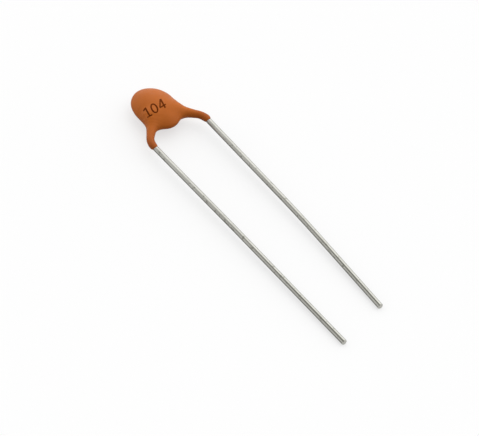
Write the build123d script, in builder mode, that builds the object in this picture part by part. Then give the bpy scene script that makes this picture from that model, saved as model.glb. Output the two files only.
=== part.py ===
# A radial-lead ceramic disc capacitor, lying on a table as it comes to rest.
# A drop of resin covers a silvered ceramic disc, with one tinned wire soldered to each face.
# +Y runs from the lead tips to the top of the drop, +Z is up, and the origin is under the middle.

from build123d import *

import os
from math import radians, tan

os.makedirs("parts", exist_ok=True)

# Driving dimensions in millimetres, angles in degrees

# Ceramic disc and its fired silver faces
ceramic_diameter = 2.65
ceramic_thickness = 0.3
silver_margin = 0.2
silver_thickness = 0.03

# Lead wires: the pitch, the kink under the drop and the free ends
wire_diameter = 0.45
lead_pitch = 5.0
inner_pitch = 1.32
face_run = 0.9
splay_drop = 0.5
kink_drop = 2.65
landing_share = 0.5
face_bend_radius = 0.8
landing_bend_radius = 1.0
kink_radius = 1.5
bow_radius = 150.0

# Each free end has one slight bend: places across (x) and distances below the drop's middle
left_bow_x = -2.25
left_bow_drop = 13.94
left_tip_x = -2.07
left_tip_drop = 27.68
right_bow_x = 2.6
right_bow_drop = 15.39
right_tip_x = 2.3
right_tip_drop = 26.18

# Solder joints
solder_film = 0.02
solder_cover = 0.06
solder_diameter = 0.95
solder_crown = 0.5
solder_share = 0.2

# Resin coating: the drop, how it sits askew on the leads, and its legs
coat_side = 0.325
coat_top = 0.355
coat_skirt = 1.555
coat_face = 0.235
coat_rim = 0.2
coat_wire = 0.08
leg_tail = 0.1
leg_end_taper = 0.05
dip_turn = 2.6
dip_shift = -0.06

# Trumpet-shaped roots where the legs leave the drop, each narrowing to an even neck before the kink
root_pitch = 1.65
root_drop = 0.69
root_spread = 0.42
root_swell = 0.2
root_rise = 0.1
root_neck = 0.05
root_shares = (0, 0.25, 0.5, 0.75, 1)

# Sizes that follow from these
wire_radius = wire_diameter / 2
silver_top = ceramic_thickness / 2 + silver_thickness
wire_lift = silver_top + solder_film + wire_radius
solder_height = solder_film + wire_diameter + solder_cover
body_width = ceramic_diameter + 2 * coat_side
body_length = ceramic_diameter + coat_top + coat_skirt
half_thickness = silver_top + solder_height + coat_face
rim_radius = ceramic_thickness / 2 + coat_rim
leg_radius = wire_radius + coat_wire
disc_rise = body_length / 2 - coat_top - ceramic_diameter / 2

# The drop's middle: half the overall length puts the origin under the middle of the part
body_y = (left_tip_drop - body_length / 2) / 2
body_centre = Vector(dip_shift, body_y, half_thickness)
body_plane = Plane(body_centre).rotated((0, 0, dip_turn))
disc_centre = body_plane.from_local_coords((0, disc_rise, 0))


def face_plane(face, height):
    """The plane at a height over the disc's middle, on the upper (1) or lower (-1) face."""
    return Plane(disc_centre + Vector(0, 0, face * height), z_dir=(0, 0, face))


def lead_points(side, face, bow_x, bow_drop, tip_x, tip_drop):
    """Corners of a lead's centre line, from the solder joint to the tip that rests on the table."""
    lift_z = half_thickness + face * wire_lift
    kink = Vector(side * lead_pitch / 2, body_y - kink_drop, half_thickness)
    splay = Vector(side * inner_pitch / 2, body_y - splay_drop, lift_z)
    heading = Vector(kink.X - splay.X, kink.Y - splay.Y, 0).normalized()
    start = splay - heading * face_run
    landing = splay + (kink - splay) * landing_share
    landing.Z = half_thickness
    tip = Vector(tip_x, body_y - tip_drop, wire_radius)
    bow_share = (bow_drop - kink_drop) / (tip_drop - kink_drop)
    bow_z = half_thickness + (wire_radius - half_thickness) * bow_share
    bow = Vector(bow_x, body_y - bow_drop, bow_z)
    return [start, splay, landing, kink, bow, tip]


left_points = lead_points(-1, 1, left_bow_x, left_bow_drop, left_tip_x, left_tip_drop)
right_points = lead_points(1, -1, right_bow_x, right_bow_drop, right_tip_x, right_tip_drop)


def make_lead(points):
    """One tinned wire: straight runs joined by tangent bends."""
    with BuildPart() as lead:
        with BuildLine() as route:
            FilletPolyline(points, radius=[face_bend_radius, landing_bend_radius, kink_radius, bow_radius])
        with BuildSketch(Plane(route.line @ 0, z_dir=route.line % 0)):
            Circle(wire_radius)
        sweep()
    return lead


left_lead = make_lead(left_points)
right_lead = make_lead(right_points)

# Ceramic disc, lying level in the drop
with BuildPart() as ceramic_disc:
    with BuildSketch(Plane(disc_centre)):
        Circle(ceramic_diameter / 2)
    extrude(amount=ceramic_thickness / 2, both=True)


def make_electrode(face):
    """A fired silver layer, with a bare ceramic margin around it."""
    with BuildPart() as electrode:
        with BuildSketch(face_plane(face, ceramic_thickness / 2)):
            Circle(ceramic_diameter / 2 - silver_margin)
        extrude(amount=silver_thickness)
    return electrode


upper_electrode = make_electrode(1)
lower_electrode = make_electrode(-1)


def make_solder(points, lead, face):
    """A blunt cone of solder round the wire's end, on the silver."""
    start, splay = points[:2]
    middle = start + (splay - start) * solder_share
    seat = Vector(middle.X, middle.Y, half_thickness + face * silver_top)
    with BuildPart() as solder:
        with BuildSketch(Plane(seat, x_dir=(1, 0, 0), z_dir=(0, -face, 0))):
            with BuildLine():
                Polyline(
                    (0, 0),
                    (solder_diameter / 2, 0),
                    (solder_crown / 2, solder_height),
                    (0, solder_height),
                    close=True,
                )
            make_face()
        revolve(axis=Axis(seat, (0, 0, 1)))
        add(lead.part, mode=Mode.SUBTRACT)
    return solder


upper_solder = make_solder(left_points, left_lead, 1)
lower_solder = make_solder(right_points, right_lead, -1)

# Outer form of the drop: a lens of two domes and a round rim, longer than it is wide
dome_reach = body_width / 2 - rim_radius
dome_rise = half_thickness - rim_radius
dome_depth = (dome_reach**2 - dome_rise**2) / (2 * dome_rise)
dome_radius = half_thickness + dome_depth
rim_angle = Vector(1, 0, 0).get_angle(Vector(dome_reach, dome_depth, 0))

with BuildPart() as drop:
    with BuildSketch(Plane.XZ):
        with BuildLine():
            Line((0, -half_thickness), (0, half_thickness))
            CenterArc((0, -dome_depth), dome_radius, rim_angle, 90 - rim_angle)
            CenterArc((dome_reach, 0), rim_radius, -rim_angle, 2 * rim_angle)
            CenterArc((0, dome_depth), dome_radius, -90, 90 - rim_angle)
        make_face()
    revolve(axis=Axis.Z)
    scale(by=(1, body_length / body_width, 1))


def make_leg(points, side, face):
    """A leg of the coating: a trumpet that narrows from the drop, then an even skin round the kink."""
    kink, bow = points[3:5]
    root = Vector(side * root_pitch / 2, body_y - root_drop, half_thickness)
    outward = (kink - root).normalized()
    onward = (bow - kink).normalized()
    bend_reach = kink_radius * tan(radians(outward.get_angle(onward)) / 2)
    root_length = (kink - root).length - bend_reach - root_neck
    end = kink + onward * (bend_reach + leg_tail)
    with BuildPart() as leg:
        for share in root_shares:
            fade = (1 - share) ** 2
            middle = root + outward * root_length * share
            middle += Vector(0, 0, face * root_rise * fade)
            with BuildSketch(Plane(middle, x_dir=outward.cross(Vector(0, 0, 1)), z_dir=outward)):
                Ellipse(leg_radius + root_spread * fade, leg_radius + root_swell * fade)
        loft()
        with BuildLine() as route:
            FilletPolyline([middle, kink, end], radius=kink_radius)
        with BuildSketch(Plane(route.line @ 0, z_dir=route.line % 0)):
            Circle(leg_radius)
        sweep()
        chamfer(leg.faces().sort_by_distance(end)[0].edges(), leg_end_taper)
    return leg


left_leg = make_leg(left_points, -1, 1)
right_leg = make_leg(right_points, 1, -1)

# The resin is one shell, shaped inside by all that it was dipped over
with BuildPart() as coating:
    with Locations(body_plane.location):
        add(drop.part)
    for leg in (left_leg, right_leg):
        add(leg.part)
    for piece in (ceramic_disc, upper_electrode, lower_electrode, upper_solder, lower_solder):
        add(piece.part, mode=Mode.SUBTRACT)
    for piece in (left_lead, right_lead):
        add(piece.part, mode=Mode.SUBTRACT)

pieces = {
    "coating": coating,
    "ceramic_disc": ceramic_disc,
    "upper_electrode": upper_electrode,
    "lower_electrode": lower_electrode,
    "upper_solder": upper_solder,
    "lower_solder": lower_solder,
    "left_lead": left_lead,
    "right_lead": right_lead,
}
for name, piece in pieces.items():
    piece.part.label = name
    export_step(piece.part, f"parts/{name}.step")
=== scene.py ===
# The looks of a small ceramic disc capacitor: a satin resin drop on two tinned wire leads.
# Shapes are worked out in millimetres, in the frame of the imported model, and written as meshes in metres.

import math

import bmesh
import bpy
import numpy as np
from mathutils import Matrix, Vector
from mathutils.bvhtree import BVHTree


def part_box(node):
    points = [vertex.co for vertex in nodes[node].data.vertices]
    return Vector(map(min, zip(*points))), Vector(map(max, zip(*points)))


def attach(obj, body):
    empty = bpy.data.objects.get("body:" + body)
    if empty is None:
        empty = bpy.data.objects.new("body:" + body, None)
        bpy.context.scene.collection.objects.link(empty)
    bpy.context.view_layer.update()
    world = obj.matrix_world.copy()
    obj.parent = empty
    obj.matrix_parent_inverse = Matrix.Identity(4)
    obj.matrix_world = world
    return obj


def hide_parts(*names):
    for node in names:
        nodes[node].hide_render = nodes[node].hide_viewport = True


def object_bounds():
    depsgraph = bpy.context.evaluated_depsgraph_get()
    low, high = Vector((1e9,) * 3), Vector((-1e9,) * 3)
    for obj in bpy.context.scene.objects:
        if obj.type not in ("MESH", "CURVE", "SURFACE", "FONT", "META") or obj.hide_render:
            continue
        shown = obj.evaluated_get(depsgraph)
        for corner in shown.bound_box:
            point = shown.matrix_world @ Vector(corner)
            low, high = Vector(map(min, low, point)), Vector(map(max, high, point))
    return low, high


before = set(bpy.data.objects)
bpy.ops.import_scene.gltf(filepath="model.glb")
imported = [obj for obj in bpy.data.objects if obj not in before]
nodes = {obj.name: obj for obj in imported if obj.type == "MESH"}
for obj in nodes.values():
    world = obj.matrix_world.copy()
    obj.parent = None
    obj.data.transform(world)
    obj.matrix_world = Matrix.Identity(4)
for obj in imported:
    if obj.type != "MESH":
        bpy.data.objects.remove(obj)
cad_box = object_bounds()

MM = 0.001

# Sizes of the leads and the drop, in millimetres
WIRE_RADIUS = 0.225
TIP_BEVEL = 0.03
LEAD_PITCH = 5.0
KINK_DROP = 2.65
KINK_RADIUS = 1.5
BOW_RADIUS = 150.0
BODY_WIDTH = 3.3
BODY_LENGTH = 4.56
RIM_RADIUS = 0.35
DIP_TURN = math.radians(2.6)
DIP_SHIFT = -0.06

# The drop stands as high as its node, and its top is the far end of the model's box
HALF_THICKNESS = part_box("coating")[1].z / MM / 2
BODY_Y = cad_box[1].y / MM - BODY_LENGTH / 2
MIDDLE = np.array([DIP_SHIFT, BODY_Y, HALF_THICKNESS])

# Each lead: its side, the face that it is soldered to, its slight bend and its tip (across, and below the
# drop's middle), and how far the resin runs past its kink
LEADS = {
    "left_lead": {"side": -1, "face": 1, "bow": (-2.25, 13.94), "tip": (-2.07, 27.68), "skin": 0.68},
    "right_lead": {"side": 1, "face": -1, "bow": (2.6, 15.39), "tip": (2.3, 26.18), "skin": 0.54},
}

# The coating's legs: roots that spread into the drop, the skin on the wire and its thin uneven end
ROOT_PITCH = 1.85
ROOT_DROP = 0.81
ROOT_LENGTH = 2.34
ROOT_SPREAD = 0.334
ROOT_RISE = 0.1
ROOT_POINTS = 8
LEG_RADIUS = 0.302
END_THINNING = 0.045
END_LENGTH = 0.4
END_TONGUE = 0.2
TONGUE_TURN = 0.5
END_WOBBLE = 0.03
END_ROUND = 0.05
CREASE = 0.6
EGG_SHARE = 0.07
WAVE_HEIGHT = 0.006


def lead_corners(lead):
    """Corners of a lead's centre line: inside the leg's root, the kink, the slight bend and the tip."""
    root = np.array([lead["side"] * ROOT_PITCH / 2, BODY_Y - ROOT_DROP, HALF_THICKNESS])
    kink = np.array([lead["side"] * LEAD_PITCH / 2, BODY_Y - KINK_DROP, HALF_THICKNESS])
    tip = np.array([lead["tip"][0], BODY_Y - lead["tip"][1], WIRE_RADIUS])
    share = (lead["bow"][1] - KINK_DROP) / (lead["tip"][1] - KINK_DROP)
    bow_z = HALF_THICKNESS + (WIRE_RADIUS - HALF_THICKNESS) * share
    bow = np.array([lead["bow"][0], BODY_Y - lead["bow"][1], bow_z])
    return root, kink, bow, tip


def unit(v):
    """A vector of length one in the same direction."""
    return v / np.linalg.norm(v)


def rounded(corners, radii, arc_points=16):
    """Points along straight runs joined by tangent arcs."""
    points = [corners[0]]
    for before, corner, after, radius in zip(corners, corners[1:], corners[2:], radii):
        a = unit(before - corner)
        b = unit(after - corner)
        half = math.acos(np.clip(a @ b, -1, 1)) / 2
        centre = corner + unit(a + b) * radius / math.sin(half)
        first = corner + a * radius / math.tan(half)
        last = corner + b * radius / math.tan(half)
        u = unit(first - centre)
        w = unit(last - centre)
        turn = math.acos(np.clip(u @ w, -1, 1))
        for t in np.linspace(0, 1, arc_points):
            ray = (math.sin((1 - t) * turn) * u + math.sin(t * turn) * w) / math.sin(turn)
            points.append(centre + ray * radius)
    points.append(corners[-1])
    return np.array(points)


# Form of the resin, as a signed distance in millimetres

DOME_REACH = BODY_WIDTH / 2 - RIM_RADIUS
DOME_RISE = HALF_THICKNESS - RIM_RADIUS
DOME_DEPTH = (DOME_REACH**2 - DOME_RISE**2) / (2 * DOME_RISE)
DOME_RADIUS = HALF_THICKNESS + DOME_DEPTH


def smooth_min(a, b, width):
    """The smaller of two numbers, rounded over where they come within a width of each other."""
    h = np.clip(0.5 + 0.5 * (b - a) / width, 0, 1)
    return b * (1 - h) + a * h - width * h * (1 - h)


def drop_distance(p):
    """The lens: two domes and a round rim, a little wider above than below."""
    q = p - MIDDLE
    u = q[:, 0] * math.cos(DIP_TURN) + q[:, 1] * math.sin(DIP_TURN)
    v = q[:, 1] * math.cos(DIP_TURN) - q[:, 0] * math.sin(DIP_TURN)
    u = u / (1 + EGG_SHARE * v / (BODY_LENGTH / 2))
    reach = np.hypot(u, v * BODY_WIDTH / BODY_LENGTH)
    height = np.abs(q[:, 2])
    rim = np.hypot(reach - DOME_REACH, height) - RIM_RADIUS
    dome = np.hypot(reach, height + DOME_DEPTH) - DOME_RADIUS
    at_rim = (reach - DOME_REACH) * DOME_DEPTH > height * DOME_REACH
    return np.where(at_rim, rim, dome)


def leg_route(lead):
    """Centre line and radii of the coating's leg on one lead, with its end and the way that it faces."""
    root, kink, bow, _ = lead_corners(lead)
    outward = unit(kink - root)
    onward = unit(bow - kink)
    points = rounded([root, kink, kink + onward], [KINK_RADIUS])
    along = np.linspace(0, (points[1] - root) @ outward, ROOT_POINTS)[1:-1]
    points = np.vstack([root, root + along[:, None] * outward, points[1:]])
    fade = np.clip(1 - (points - root) @ outward / ROOT_LENGTH, 0, 1) ** 2
    points[:, 2] += lead["face"] * ROOT_RISE * fade
    return points, LEG_RADIUS + ROOT_SPREAD * fade, kink + onward * lead["skin"], onward


def leg_distance(p, route):
    """A leg of the coating: a round skin along its route, with a thin uneven end."""
    points, radii, end, onward = route
    best = np.full(len(p), np.inf)
    for a, b, ra, rb in zip(points, points[1:], radii, radii[1:]):
        ab = b - a
        t = np.clip((p - a) @ ab / (ab @ ab), 0, 1)
        best = np.minimum(best, np.linalg.norm(p - a - t[:, None] * ab, axis=1) - (ra + (rb - ra) * t))
    from_end = p - end
    turn = np.arctan2(-from_end[:, 0], from_end[:, 2])
    tongue = END_TONGUE * np.cos(turn - TONGUE_TURN)
    wobble = END_WOBBLE * (np.cos(2 * turn + 1.0) + 0.6 * np.cos(3 * turn + 2.2))
    past_end = from_end @ onward - tongue - wobble
    near_end = np.clip(1 + past_end / END_LENGTH, 0, 1)
    best += END_THINNING * near_end**2
    return -smooth_min(-best, -past_end, END_ROUND)


LEG_ROUTES = [leg_route(lead) for lead in LEADS.values()]


def coating_distance(p):
    """The drop and its legs run together, with the slight waves of a dipped skin."""
    d = drop_distance(p)
    for route in LEG_ROUTES:
        d = smooth_min(d, leg_distance(p, route), CREASE)
    x, y, z = p.T
    wave = np.sin(2.3 * x + 1.1 * y + 0.4) * np.sin(2.9 * y - 0.8 * x + 1.3)
    wave += np.sin(3.7 * x - 1.9 * z + 2.0) * 0.5
    return d + WAVE_HEIGHT * wave


PULL_ROUNDS = 4
SLOPE_SHARE = 0.2


def surface_net(distance, low, high, step):
    """A quad mesh of the surface where a distance is zero, drawn onto that surface."""
    counts = np.ceil((high - low) / step).astype(int) + 1
    axes = [low[i] + step * np.arange(counts[i]) for i in range(3)]
    grid = np.stack(np.meshgrid(*axes, indexing="ij"), -1)
    values = distance(grid.reshape(-1, 3)).reshape(counts)
    inside = values < 0
    shifts = [(i, j, k) for i in (0, 1) for j in (0, 1) for k in (0, 1)]
    size = counts - 1

    def corner(array, s):
        return array[s[0]:s[0] + size[0], s[1]:s[1] + size[1], s[2]:s[2] + size[2]]

    total = sum(corner(inside, s).astype(int) for s in shifts)
    active = (total > 0) & (total < 8)
    index = np.full(size, -1)
    index[active] = np.arange(active.sum())
    cells = np.argwhere(active)
    points = low + (cells + 0.5) * step
    quads = []
    for axis in range(3):
        near = [slice(None)] * 3
        far = [slice(None)] * 3
        near[axis] = slice(0, -1)
        far[axis] = slice(1, None)
        crossing = inside[tuple(near)] != inside[tuple(far)]
        edges = np.argwhere(crossing)
        b, c = (axis + 1) % 3, (axis + 2) % 3
        ring = []
        for db, dc in ((-1, -1), (0, -1), (0, 0), (-1, 0)):
            cell = edges.copy()
            cell[:, b] += db
            cell[:, c] += dc
            ring.append(index[tuple(cell.T)])
        ring = np.stack(ring, 1)
        starts_inside = inside[tuple(edges.T)]
        ring[~starts_inside] = ring[~starts_inside][:, ::-1]
        quads.append(ring)
    for _ in range(PULL_ROUNDS):
        points = pull(distance, points, step)
    return points, np.vstack(quads)


def pull(distance, points, step):
    """Moves points onto the surface along its slope."""
    d = distance(points)
    h = step * SLOPE_SHARE
    slope = np.stack([distance(points + h * e) - distance(points - h * e) for e in np.eye(3)], 1) / (2 * h)
    move = d[:, None] * slope / np.maximum((slope**2).sum(1, keepdims=True), 1e-6)
    length = np.linalg.norm(move, axis=1, keepdims=True)
    return points - move * np.minimum(1, step / np.maximum(length, 1e-9))


def mesh_object(name, points, faces):
    """A smooth-shaded object from points in millimetres."""
    mesh = bpy.data.meshes.new(name)
    mesh.from_pydata((np.asarray(points) * MM).tolist(), [], [list(map(int, f)) for f in faces])
    mesh.validate()
    mesh.shade_smooth()
    obj = bpy.data.objects.new(name, mesh)
    bpy.context.scene.collection.objects.link(obj)
    return obj


NET_STEP = 0.045
NET_ROOM = 0.2


def make_coating():
    """The resin: the drop and both legs as one closed skin."""
    low = np.array(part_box("coating")[0]) / MM - NET_ROOM
    high = np.array(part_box("coating")[1]) / MM + NET_ROOM
    points, quads = surface_net(coating_distance, low, high, NET_STEP)
    return mesh_object("resin_drop", points, quads)


WIRE_SIDES = 48
WIRE_STEP = 0.4
WIRE_ARC_POINTS = 20
TIP_CREASE = math.radians(30)


def make_lead(name, lead):
    """A round wire along its centre line, with a flat cut tip whose edge is bevelled."""
    points = rounded(lead_corners(lead), [KINK_RADIUS, BOW_RADIUS], WIRE_ARC_POINTS)
    stations = [points[0]]
    for a, b in zip(points, points[1:]):
        steps = max(1, int(np.linalg.norm(b - a) / WIRE_STEP))
        stations += [a + (b - a) * (i + 1) / steps for i in range(steps)]
    cut = stations[-1]
    stations.insert(-1, cut - unit(cut - stations[-2]) * TIP_BEVEL)
    stations = np.array(stations)
    radii = np.full(len(stations), WIRE_RADIUS)
    radii[-1] -= TIP_BEVEL
    heading = np.gradient(stations, axis=0)
    across = np.cross(heading, [0, 0, 1])
    across /= np.linalg.norm(across, axis=1, keepdims=True)
    upward = np.cross(across, heading)
    upward /= np.linalg.norm(upward, axis=1, keepdims=True)
    turn = np.linspace(0, 2 * math.pi, WIRE_SIDES, endpoint=False)
    circle = np.cos(turn)[:, None, None] * across + np.sin(turn)[:, None, None] * upward
    rings = stations + circle * radii[:, None]
    vertices = rings.transpose(1, 0, 2).reshape(-1, 3)
    faces = []
    for i in range(len(stations) - 1):
        for j in range(WIRE_SIDES):
            k = (j + 1) % WIRE_SIDES
            first, second = i * WIRE_SIDES, (i + 1) * WIRE_SIDES
            faces.append((first + j, first + k, second + k, second + j))
    faces.append(range(WIRE_SIDES)[::-1])
    faces.append(range((len(stations) - 1) * WIRE_SIDES, len(stations) * WIRE_SIDES))
    wire = mesh_object(name + "_wire", vertices, faces)
    wire.data.set_sharp_from_angle(angle=TIP_CREASE)
    return wire


# Stamped number: a plain capacitance code, in millimetres on the drop's upper face

PRINT_PLACE = (-0.6, -0.59, 0.9)
PRINT_ALONG = (1.92, 0.13, 0.0)
PRINT_UP = (0.22, 0.99, 0.0)
PRINT_CAST = (0.398, 0.571, -0.718)
PRINT_FINE = 0.1
PRINT_ROUNDS = 4
INK_HEIGHT = 0.005
INK_DEPTH = 0.02
DIGIT_GAP = 0.12


def ring(centre, radii, count=40):
    """Points round an ellipse."""
    turns = np.linspace(0, 2 * math.pi, count, endpoint=False)
    return [(centre[0] + radii[0] * math.cos(t), centre[1] + radii[1] * math.sin(t)) for t in turns]


# Outlines of the digits 1, 0 and 4, as shares of their height, with holes after the outer line
DIGITS = [
    [[(0.02, 0), (0.52, 0), (0.52, 0.11), (0.34, 0.11), (0.34, 1), (0.23, 1),
      (0, 0.86), (0, 0.73), (0.2, 0.84), (0.2, 0.11), (0.02, 0.11)]],
    [ring((0.31, 0.5), (0.31, 0.51)), ring((0.31, 0.5), (0.17, 0.385))],
    [[(0.36, 0), (0.5, 0), (0.5, 0.22), (0.62, 0.22), (0.62, 0.34), (0.5, 0.34),
      (0.5, 1), (0.34, 1), (0, 0.35), (0, 0.22), (0.36, 0.22)],
     [(0.36, 0.34), (0.36, 0.79), (0.13, 0.34)]],
]


def digit_mesh():
    """A bmesh of the row of digits, one unit high and one unit long about its middle."""
    curve = bpy.data.curves.new("digits", "CURVE")
    curve.dimensions = "2D"
    curve.fill_mode = "BOTH"
    start = 0
    for outlines in DIGITS:
        for outline in outlines:
            spline = curve.splines.new("POLY")
            spline.points.add(len(outline) - 1)
            for point, (x, y) in zip(spline.points, outline):
                point.co = (start + x, y, 0, 1)
            spline.use_cyclic_u = True
        start += max(x for x, y in outlines[0]) + DIGIT_GAP
    row = bpy.data.objects.new("digits", curve)
    bpy.context.scene.collection.objects.link(row)
    mesh = bpy.data.meshes.new_from_object(row.evaluated_get(bpy.context.evaluated_depsgraph_get()))
    digits = bmesh.new()
    digits.from_mesh(mesh)
    bpy.data.objects.remove(row)
    bpy.data.curves.remove(curve)
    bpy.data.meshes.remove(mesh)
    for v in digits.verts:
        v.co = (v.co.x / (start - DIGIT_GAP) - 0.5, v.co.y - 0.5, 0)
    return digits


def make_print(coating):
    """Ink laid on the drop: a thin closed skin that follows its upper face."""
    surface = BVHTree.FromPolygons([v.co / MM for v in coating.data.vertices],
                                   [list(f.vertices) for f in coating.data.polygons])
    place = Vector(PRINT_PLACE) + Vector((0, BODY_Y, HALF_THICKNESS))
    cast = Vector(PRINT_CAST).normalized()
    digits = digit_mesh()
    for v in digits.verts:
        v.co = place + Vector(PRINT_ALONG) * v.co.x + Vector(PRINT_UP) * v.co.y
    for _ in range(PRINT_ROUNDS):
        bmesh.ops.triangulate(digits, faces=digits.faces[:])
        wide = [e for e in digits.edges if e.calc_length() > PRINT_FINE]
        bmesh.ops.subdivide_edges(digits, edges=wide, cuts=1)
    bmesh.ops.triangulate(digits, faces=digits.faces[:])
    digits.verts.index_update()
    top, bottom = [], []
    for v in digits.verts:
        hit, normal, _, _ = surface.ray_cast(v.co - cast * BODY_LENGTH, cast)
        top.append(hit + normal * INK_HEIGHT)
        bottom.append(hit - normal * INK_DEPTH)
    faces = [[v.index for v in f.verts] for f in digits.faces]
    edges = {(f[i], f[(i + 1) % 3]) for f in faces for i in range(3)}
    digits.free()
    count = len(top)
    walls = [(a, a + count, b + count, b) for a, b in edges if (b, a) not in edges]
    under = [[i + count for i in reversed(f)] for f in faces]
    return mesh_object("stamped_number", np.array(top + bottom), faces + under + walls)


coating = make_coating()
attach(coating, "root")
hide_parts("coating")
number = make_print(coating)
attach(number, "root")
wires = {}
for name, lead in LEADS.items():
    wires[name] = make_lead(name, lead)
    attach(wires[name], "root")
    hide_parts(name)


# Materials: each is mixed from noise that is laid out in millimetres

# The middle of a noise's range, where nearly all of it lies
NOISE_LOW = 0.3
NOISE_HIGH = 0.7


def new_material(name):
    """A material with nodes, its node tree and its main shader."""
    material = bpy.data.materials.new(name)
    material.use_nodes = True
    return material, material.node_tree, material.node_tree.nodes["Principled BSDF"]


def grain(tree, size, stretch=(1, 1, 1), detail=2.0):
    """Noise with patches of about one size in millimetres, drawn out by a stretch along each axis."""
    place = tree.nodes.new("ShaderNodeTexCoord")
    scale = tree.nodes.new("ShaderNodeMapping")
    scale.inputs["Scale"].default_value = [1 / (size * MM * s) for s in stretch]
    noise = tree.nodes.new("ShaderNodeTexNoise")
    noise.inputs["Scale"].default_value = 1.0
    noise.inputs["Detail"].default_value = detail
    tree.links.new(place.outputs["Object"], scale.inputs["Vector"])
    tree.links.new(scale.outputs["Vector"], noise.inputs["Vector"])
    return noise.outputs["Fac"]


def between(tree, factor, low, high):
    """A number that runs from low to high over the middle of a noise."""
    spread = tree.nodes.new("ShaderNodeMapRange")
    spread.inputs["From Min"].default_value = NOISE_LOW
    spread.inputs["From Max"].default_value = NOISE_HIGH
    spread.inputs["To Min"].default_value = low
    spread.inputs["To Max"].default_value = high
    tree.links.new(factor, spread.inputs["Value"])
    return spread.outputs["Result"]


def tint(tree, factor, dark, light):
    """A colour that runs from dark to light over the middle of a noise."""
    ramp = tree.nodes.new("ShaderNodeValToRGB")
    ramp.color_ramp.elements[0].position = NOISE_LOW
    ramp.color_ramp.elements[0].color = (*dark, 1)
    ramp.color_ramp.elements[1].position = NOISE_HIGH
    ramp.color_ramp.elements[1].color = (*light, 1)
    tree.links.new(factor, ramp.inputs["Fac"])
    return ramp.outputs["Color"]


def speckle(tree, colour, factor, other):
    """A colour with another laid over it where a factor is high."""
    mix = tree.nodes.new("ShaderNodeMix")
    mix.data_type = "RGBA"
    tree.links.new(factor, mix.inputs["Factor"])
    tree.links.new(colour, mix.inputs["A"])
    mix.inputs["B"].default_value = (*other, 1)
    return mix.outputs["Result"]


def facing(tree, towards, start, end):
    """A number that runs from 0 to 1 as the surface's normal, along a direction, goes from start to end."""
    place = tree.nodes.new("ShaderNodeTexCoord")
    aim = tree.nodes.new("ShaderNodeVectorMath")
    aim.operation = "DOT_PRODUCT"
    aim.inputs[1].default_value = towards
    rise = tree.nodes.new("ShaderNodeMapRange")
    rise.interpolation_type = "SMOOTHSTEP"
    rise.inputs["From Min"].default_value = start
    rise.inputs["From Max"].default_value = end
    tree.links.new(place.outputs["Normal"], aim.inputs[0])
    tree.links.new(aim.outputs["Value"], rise.inputs["Value"])
    return rise.outputs["Result"]


def downward(tree, start, end):
    """A number that rises from 0 to 1 between two places, in millimetres below the drop's middle."""
    place = tree.nodes.new("ShaderNodeTexCoord")
    split = tree.nodes.new("ShaderNodeSeparateXYZ")
    rise = tree.nodes.new("ShaderNodeMapRange")
    rise.interpolation_type = "SMOOTHSTEP"
    rise.inputs["From Min"].default_value = (BODY_Y - start) * MM
    rise.inputs["From Max"].default_value = (BODY_Y - end) * MM
    tree.links.new(place.outputs["Object"], split.inputs["Vector"])
    tree.links.new(split.outputs["Y"], rise.inputs["Value"])
    return rise.outputs["Result"]


def both(tree, first, second):
    """The product of two numbers."""
    product = tree.nodes.new("ShaderNodeMath")
    product.operation = "MULTIPLY"
    tree.links.new(first, product.inputs[0])
    tree.links.new(second, product.inputs[1])
    return product.outputs["Value"]


def roughen(tree, shader, height, depth):
    """Bump from a noise, with a depth in millimetres."""
    bump = tree.nodes.new("ShaderNodeBump")
    bump.inputs["Distance"].default_value = depth * MM
    tree.links.new(height, bump.inputs["Height"])
    tree.links.new(bump.outputs["Normal"], shader.inputs["Normal"])


# Where the resin darkens towards the legs and where the wires' painted dark top line grows, below the
# drop's middle
LEG_DARK_START = 1.5
LEG_DARK_FULL = 3.0
PAINTED_LINE_START = 6.0
PAINTED_LINE_FULL = 24.0

# The ways that the wires' painted reflection lines and painted underside shade face, and the cut tips,
# which are left without that painted shade
PAINTED_SHADE_FACING = (0, 0, -1)
TIP_FACE = (0, -1, 0)
PAINTED_TOP_LINE = (-0.391, 0, 0.921)
PAINTED_SIDE_LINE = (0.707, 0, 0.707)


def resin_material():
    """Satin dipped resin: warm brown, faintly clouded and specked, darker from the drop's lower part down
    the legs.
    """
    material, tree, shader = new_material("resin")
    clouds = tint(tree, grain(tree, 1.1, detail=3), (0.475, 0.118, 0.0115), (0.515, 0.132, 0.014))
    specks = between(tree, grain(tree, 0.06, detail=1), -0.2, 0.25)
    colour = speckle(tree, clouds, specks, (0.42, 0.097, 0.0095))
    # Darker from the lower part of the drop down the legs
    colour = speckle(tree, colour, downward(tree, LEG_DARK_START, LEG_DARK_FULL), (0.38, 0.088, 0.0085))
    tree.links.new(colour, shader.inputs["Base Color"])
    tree.links.new(between(tree, grain(tree, 0.5), 0.40, 0.52), shader.inputs["Roughness"])
    roughen(tree, shader, grain(tree, 0.16, detail=2), 0.004)
    shader.inputs["Specular IOR Level"].default_value = 0.15
    return material


def ink_material():
    """Dark brown stamping ink, a little thin in places."""
    material, tree, shader = new_material("ink")
    colour = tint(tree, grain(tree, 0.12, detail=3), (0.11, 0.02, 0.0005), (0.155, 0.029, 0.001))
    tree.links.new(colour, shader.inputs["Base Color"])
    tree.links.new(between(tree, grain(tree, 0.2), 0.45, 0.6), shader.inputs["Roughness"])
    shader.inputs["Specular IOR Level"].default_value = 0.02
    return material


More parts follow.
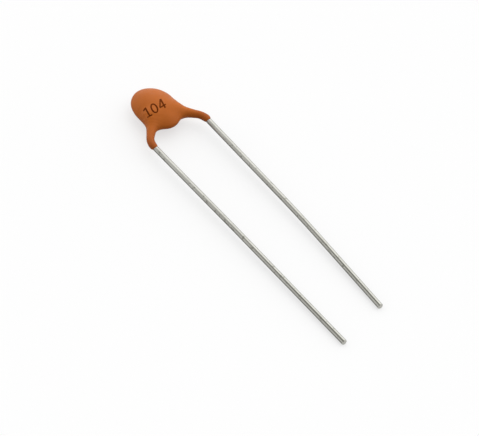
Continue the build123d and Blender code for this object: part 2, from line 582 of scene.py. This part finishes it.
def wire_material():
    """Tinned wire: warm grey metal with fine lines, dull patches and small nicks, with painted reflections
    as dark lines along the top and upper right and painted shade on the underside.
    """
    material, tree, shader = new_material("tinned_wire")
    lines = grain(tree, 0.05, stretch=(1, 60, 1), detail=2)
    patches = grain(tree, 0.9, stretch=(1, 2, 1), detail=3)
    colour = tint(tree, lines, (0.4, 0.396, 0.36), (0.51, 0.505, 0.465))
    colour = speckle(tree, colour, between(tree, patches, -0.8, 0.45), (0.35, 0.346, 0.305))
    nicks = between(tree, grain(tree, 0.2, stretch=(1, 2, 1), detail=1), -3.5, 1)
    colour = speckle(tree, colour, nicks, (0.27, 0.267, 0.235))
    # A painted reflection: a dark line along the top of each wire, stronger towards the tips
    growth = downward(tree, PAINTED_LINE_START, PAINTED_LINE_FULL)
    painted_top_reflection = both(tree, facing(tree, PAINTED_TOP_LINE, 0.955, 0.992), growth)
    colour = speckle(tree, colour, painted_top_reflection, (0.18, 0.178, 0.152))
    # A painted reflection: a thin dark line along the upper right side of each wire
    colour = speckle(tree, colour, facing(tree, PAINTED_SIDE_LINE, 0.95, 0.99), (0.32, 0.317, 0.28))
    # Painted shade: the lower side of each wire is darkened as a reflection of the floor's shadow, except
    # on the cut tips
    under = both(tree, facing(tree, PAINTED_SHADE_FACING, -0.5, -0.15), facing(tree, TIP_FACE, 0.8, 0.4))
    colour = speckle(tree, colour, under, (0.115, 0.113, 0.096))
    tree.links.new(colour, shader.inputs["Base Color"])
    tree.links.new(between(tree, patches, 0.16, 0.26), shader.inputs["Roughness"])
    roughen(tree, shader, lines, 0.002)
    shader.inputs["Metallic"].default_value = 1.0
    return material


def inner_material(name, dark, light, size, metallic, rough):
    """Ceramic, silver or solder: a clouded colour with an uneven finish."""
    material, tree, shader = new_material(name)
    patches = grain(tree, size, detail=3)
    tree.links.new(tint(tree, patches, dark, light), shader.inputs["Base Color"])
    tree.links.new(between(tree, patches, rough, rough + 0.15), shader.inputs["Roughness"])
    roughen(tree, shader, patches, 0.004)
    shader.inputs["Metallic"].default_value = metallic
    return material


def dress(obj, material):
    """Gives an object one material."""
    obj.data.materials.clear()
    obj.data.materials.append(material)


dress(coating, resin_material())
dress(number, ink_material())
tin = wire_material()
for wire in wires.values():
    dress(wire, tin)
ceramic = inner_material("ceramic", (0.50, 0.42, 0.32), (0.66, 0.57, 0.45), 0.08, 0.0, 0.6)
dress(nodes["ceramic_disc"], ceramic)
silver = inner_material("silver", (0.72, 0.71, 0.69), (0.84, 0.83, 0.81), 0.06, 1.0, 0.35)
solder = inner_material("solder", (0.52, 0.52, 0.52), (0.68, 0.68, 0.67), 0.15, 1.0, 0.22)
for face in ("upper", "lower"):
    dress(nodes[face + "_electrode"], silver)
    dress(nodes[face + "_solder"], solder)


# Floor and studio light

FLOOR_SIZE = 4.0
FLOOR_SEEN = 0.97
FLOOR_BOUNCE = 0.36
FLOOR_WHITE = 0.65
SKY_LEVEL = 0.4

# Soft panels of light: the way towards each, how far off that way it starts and is full, and its level
PANELS = [
    ((0.754, 0.093, 0.651), (0.29, 0.98), 1.24),
    ((-0.224, 0.965, 0.138), (0.442, 1.0), 0.97),
    ((0.42, 0.57, 0.70), (0.93, 0.985), 0.2),
]


def whiten(tree, shader, share):
    """Mixes plain white into what the camera, metal and glass see, which leaves a lighter shadow."""
    path = tree.nodes.new("ShaderNodeLightPath")
    seen = path.outputs["Is Camera Ray"]
    for kind in ("Is Glossy Ray", "Is Transmission Ray"):
        either = tree.nodes.new("ShaderNodeMath")
        either.operation = "MAXIMUM"
        tree.links.new(seen, either.inputs[0])
        tree.links.new(path.outputs[kind], either.inputs[1])
        seen = either.outputs["Value"]
    part = tree.nodes.new("ShaderNodeMath")
    part.operation = "MULTIPLY"
    tree.links.new(seen, part.inputs[0])
    part.inputs[1].default_value = share
    white = tree.nodes.new("ShaderNodeEmission")
    mix = tree.nodes.new("ShaderNodeMixShader")
    tree.links.new(part.outputs["Value"], mix.inputs["Fac"])
    tree.links.new(shader.outputs["BSDF"], mix.inputs[1])
    tree.links.new(white.outputs["Emission"], mix.inputs[2])
    tree.links.new(mix.outputs["Shader"], tree.nodes["Material Output"].inputs["Surface"])


def make_floor():
    """A white floor that throws back less light than it shows, so that the drop's lower edge stays dark."""
    bpy.ops.mesh.primitive_plane_add(size=FLOOR_SIZE)
    floor = bpy.context.object
    floor.name = "floor"
    material, tree, shader = new_material("floor")
    colour = tree.nodes.new("ShaderNodeMix")
    colour.data_type = "RGBA"
    colour.inputs["A"].default_value = (FLOOR_SEEN, FLOOR_SEEN, FLOOR_SEEN, 1)
    colour.inputs["B"].default_value = (FLOOR_BOUNCE, FLOOR_BOUNCE, FLOOR_BOUNCE, 1)
    path = tree.nodes.new("ShaderNodeLightPath")
    tree.links.new(path.outputs["Is Diffuse Ray"], colour.inputs["Factor"])
    tree.links.new(colour.outputs["Result"], shader.inputs["Base Color"])
    shader.inputs["Roughness"].default_value = 0.9
    shader.inputs["Specular IOR Level"].default_value = 0.1
    whiten(tree, shader, FLOOR_WHITE)
    dress(floor, material)


def soft_panel(tree, towards, edge, level):
    """Brightness of a soft light in the sky, fading from its middle to its edge."""
    place = tree.nodes.new("ShaderNodeTexCoord")
    aim = tree.nodes.new("ShaderNodeVectorMath")
    aim.operation = "DOT_PRODUCT"
    aim.inputs[1].default_value = Vector(towards).normalized()
    fade = tree.nodes.new("ShaderNodeMapRange")
    fade.interpolation_type = "SMOOTHSTEP"
    fade.inputs["From Min"].default_value = edge[0]
    fade.inputs["From Max"].default_value = edge[1]
    fade.inputs["To Max"].default_value = level
    tree.links.new(place.outputs["Generated"], aim.inputs[0])
    tree.links.new(aim.outputs["Value"], fade.inputs["Value"])
    return fade.outputs["Result"]


def make_sky():
    """An even sky with a wide key panel on the right, a low one behind and a small one between."""
    world = bpy.data.worlds.new("studio")
    world.use_nodes = True
    tree = world.node_tree
    level = None
    for towards, edge, brightness in PANELS:
        total = tree.nodes.new("ShaderNodeMath")
        tree.links.new(soft_panel(tree, towards, edge, brightness), total.inputs[0])
        if level is None:
            total.inputs[1].default_value = SKY_LEVEL
        else:
            tree.links.new(level, total.inputs[1])
        level = total.outputs["Value"]
    sky = tree.nodes["Background"]
    sky.inputs["Color"].default_value = (1, 1, 1, 1)
    tree.links.new(level, sky.inputs["Strength"])
    bpy.context.scene.world = world


make_floor()
make_sky()


# Camera: an almost parallel view, aimed at a point below the drop

VIEW_AZIMUTH = math.radians(-34.9)
VIEW_ELEVATION = math.radians(45.9)
VIEW_TARGET = (-1.489, -13.108, 0.0)
VIEW_WIDTH = 36.15
LENS = 1000.0
SENSOR = 36.0


def make_camera():
    """A long lens far away, at the photograph's angle."""
    data = bpy.data.cameras.new("camera")
    data.lens = LENS
    data.sensor_width = SENSOR
    data.sensor_fit = "HORIZONTAL"
    camera = bpy.data.objects.new("camera", data)
    bpy.context.scene.collection.objects.link(camera)
    back = Vector((math.sin(VIEW_AZIMUTH) * math.cos(VIEW_ELEVATION),
                   -math.cos(VIEW_AZIMUTH) * math.cos(VIEW_ELEVATION),
                   math.sin(VIEW_ELEVATION)))
    target = Vector(VIEW_TARGET) + Vector((0, BODY_Y, HALF_THICKNESS))
    camera.location = (target + back * VIEW_WIDTH * LENS / SENSOR) * MM
    camera.rotation_mode = "QUATERNION"
    camera.rotation_quaternion = (-back).to_track_quat("-Z", "Y")
    bpy.context.scene.camera = camera


make_camera()
bpy.context.scene.view_settings.view_transform = "Standard"
